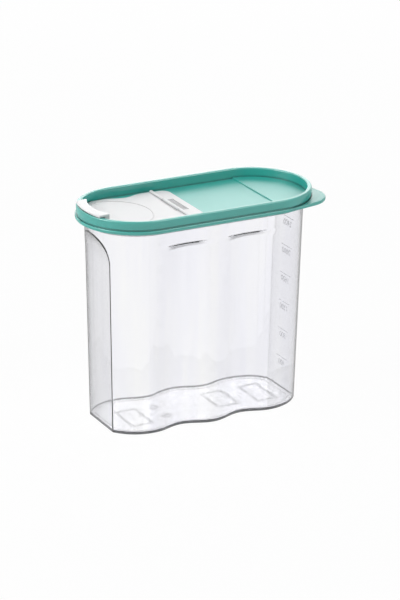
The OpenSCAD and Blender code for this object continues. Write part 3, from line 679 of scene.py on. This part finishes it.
# a raised bead along the hinge edge, set back between the knuckles, and the tongue to the barrel
for near, far, back in ((-FLAP_HALF + 0.9, -MIDDLE - 0.5, 0.0), (-MIDDLE + 0.3, MIDDLE - 0.3, BEAD_SET_BACK),
                        (MIDDLE + 0.5, FLAP_HALF - 0.9, 0.0)):
    flap_shells.append(slab(block(FLAP_BACK - BEAD_WIDE - back, FLAP_BACK - 0.05 - back, near, far),
                            FLAP_TOP - 0.8, FLAP_TOP + BEAD_RISE, 0.3))
flap_shells.append(slab(block(FLAP_BACK - 1, HINGE_X, -MIDDLE, MIDDLE), FLAP_FOOT, FLAP_TOP, 0.1))
trunnion = np.array([[-MIDDLE - 5, 0.8], [-MIDDLE - 4.8, 1.1], [-MIDDLE, 1.1], [-MIDDLE, 1.5],
                     [-MIDDLE + 0.2, KNUCKLE_R]])
flap_shells.append(turned((HINGE_X, HINGE_Z), np.concatenate([trunnion, trunnion[::-1] * [-1, 1]]), 1))

# the plug rim and the line over it
angle = np.linspace(0, 2 * math.pi, 289)[:-1]
for wide, root, crest, edge in ((PLUG_WALL, FLAP_FOOT + 0.8, PLUG_FOOT, 0.4),
                                (LINE_WIDE, FLAP_TOP - 0.5, FLAP_TOP + LINE_RISE, 0.15)):
    section = rounded([[-wide, root, 0.02], [-wide, crest, edge], [0, crest, edge], [0, root, 0.02]])
    reach = pour_outline(angle[None, :], section[:, :1])
    flap_shells.append(shell(np.stack([POUR_HUB + reach * np.cos(angle), reach * np.sin(angle),
                                       section[:, 1:] + 0 * angle], axis=2), ring=True))

# the thumb lip: inner wall, roof that falls outwards over the ring, and solid ends with rounded
# edges. Its section is worked out at each place across the lid.
tip = np.array([0.0, 0.1, 0.25, 0.5])
across = both_sides(np.concatenate([LIP_HALF - tip, [LIP_HALF - LIP_WALL, LIP_HALF - LIP_WALL - 0.02],
                                    np.linspace(LIP_HALF - LIP_WALL - 0.5, 0, 16)]), -1)
trim = both_sides(np.concatenate([0.5 - np.sqrt(0.25 - (0.5 - tip) ** 2), np.zeros(18)]))
solid = both_sides(np.concatenate([np.ones(5), np.zeros(17)]))
lip_rows = []
for y, cut, filled in zip(across, trim, solid):
    inside, outside = inner_edge(y) - cut, LIP_OUTER_X - math.sqrt(LIP_OUTER_R ** 2 - y ** 2) + cut
    under = head_edge(y) if filled else inner_edge(y) - LIP_WALL
    lip_rows.append(rounded([
        [inside, FLAP_TOP - 0.8, 0.02], [inside, LIP_RIDGE - cut, 0.5],
        [min(LIP_RIDGE_X, inside - 0.8), LIP_RIDGE - cut, 2.0],
        [outside, LIP_RIDGE - cut - LIP_FALL * max(LIP_RIDGE_X - outside, 0.1), 0.45],
        [outside, LIP_FOOT, 0.25], [under, LIP_FOOT, 0.2], [under, FLAP_TOP - 0.8, 0.02]]))
lip_rows = np.stack(lip_rows)
flap_shells.append(shell(np.stack([lip_rows[:, :, 0], np.broadcast_to(across[:, None], lip_rows.shape[:2]),
                                   lip_rows[:, :, 1]], axis=2)))
make_piece("pour_cover_moulding", flap_shells, "flap", white_cover, ["spout_flap"])

# ---------------------------------------------------------------- the studio
# A pale floor that keeps the object's shadow, a white surround, and soft lamps. Sizes and places
# are metres here, and powers are watts.
FLOOR_HALF, FLOOR_Z = 6, -0.0002


def sees_white(flow):
    """1 for a ray from the camera, off a gloss or through the clear plastic, and 0 for others."""
    camera_ray, glossy, through = (flow.node("ShaderNodeLightPath", output="Is %s Ray" % kind)
                                   for kind in ("Camera", "Glossy", "Transmission"))
    seen = camera_ray + glossy + through
    return seen.math("MINIMUM", seen, 1.0)


floor_mesh = bpy.data.meshes.new("studio_floor")
floor_mesh.from_pydata([(x * FLOOR_HALF, y * FLOOR_HALF, FLOOR_Z)
                        for x, y in ((-1, -1), (1, -1), (1, 1), (-1, 1))], [], [(0, 1, 2, 3)])
floor = bpy.data.objects.new("studio_floor", floor_mesh)
bpy.context.collection.objects.link(floor)
pale, flow = new_finish("pale_floor")
matt = flow.node("ShaderNodeBsdfDiffuse", {}, {"Color": (0.9, 0.9, 0.9, 1)})
white = flow.node("ShaderNodeEmission", {}, {"Color": (1, 1, 1, 1), "Strength": 1.0})
flow.node("ShaderNodeOutputMaterial", {}, {"Surface": flow.node(
    "ShaderNodeMixShader", {}, {0: sees_white(flow) * 0.95, 1: matt, 2: white})})
floor_mesh.materials.append(pale)

world = bpy.data.worlds.new("studio_surround")
bpy.context.scene.world = world
world.use_nodes = True
world.node_tree.nodes.clear()
flow = Flow(world.node_tree)
room = flow.node("ShaderNodeBackground", {}, {"Color": (0.97, 0.98, 1.0, 1), "Strength": 0.17})
white = flow.node("ShaderNodeBackground", {}, {"Color": (1, 1, 1, 1), "Strength": 1.0})
flow.node("ShaderNodeOutputWorld", {}, {"Surface": flow.node(
    "ShaderNodeMixShader", {}, {0: sees_white(flow), 1: room, 2: white})})


def soft_lamp(name, place, target, width, height, power):
    """A soft box at a place, facing a target."""
    lamp = bpy.data.lights.new(name, "AREA")
    lamp.shape, lamp.size, lamp.size_y, lamp.energy = "RECTANGLE", width, height, power
    holder = bpy.data.objects.new(name, lamp)
    bpy.context.collection.objects.link(holder)
    way = np.array(target, float) - np.array(place, float)
    way /= np.linalg.norm(way)
    holder.location = place
    holder.rotation_euler = (math.acos(-way[2]), 0, math.atan2(-way[0], way[1]))


soft_lamp("lamp_left", (-1.75, 0.17, 1.33), (0, 0, 0.15), 1.2, 1.2, 30)
soft_lamp("lamp_front", (1.0, -1.57, 1.55), (0, 0, 0.12), 1.2, 1.2, 20)
soft_lamp("lamp_back", (0.954, 1.758, 0.95), (0, 0, 0.19), 1.7, 1.2, 16)

# ---------------------------------------------------------------- the camera
# It stands where the photograph was taken from, with a long lens, and is turned a little about
# its line of sight.
AZIMUTH, ELEVATION, ROLL = (math.radians(angle) for angle in (-28.469, 20.717, 0.692))
LOOKS_AT, DISTANCE, RAISED = np.array([4.746, -2.552, 100.914]) * MM, 2359.94 * MM, 0.58 * MM

camera = bpy.data.cameras.new("photo_camera")
camera.lens, camera.sensor_width = 159.51, 36
camera.clip_start, camera.clip_end = 0.1, 50
stand = bpy.data.objects.new("photo_camera", camera)
bpy.context.collection.objects.link(stand)
back = np.array([math.sin(AZIMUTH) * math.cos(ELEVATION), -math.cos(AZIMUTH) * math.cos(ELEVATION),
                 math.sin(ELEVATION)])
level = np.cross([0, 0, 1], back)
level /= np.linalg.norm(level)
upright = np.cross(back, level)
right = level * math.cos(ROLL) + upright * math.sin(ROLL)
up = upright * math.cos(ROLL) - level * math.sin(ROLL)
eye = LOOKS_AT + back * DISTANCE + up * RAISED
stand.matrix_world = Matrix([[right[i], up[i], back[i], eye[i]] for i in range(3)] + [[0, 0, 0, 1]])
bpy.context.scene.camera = stand
bpy.context.scene.view_settings.view_transform = "Standard"
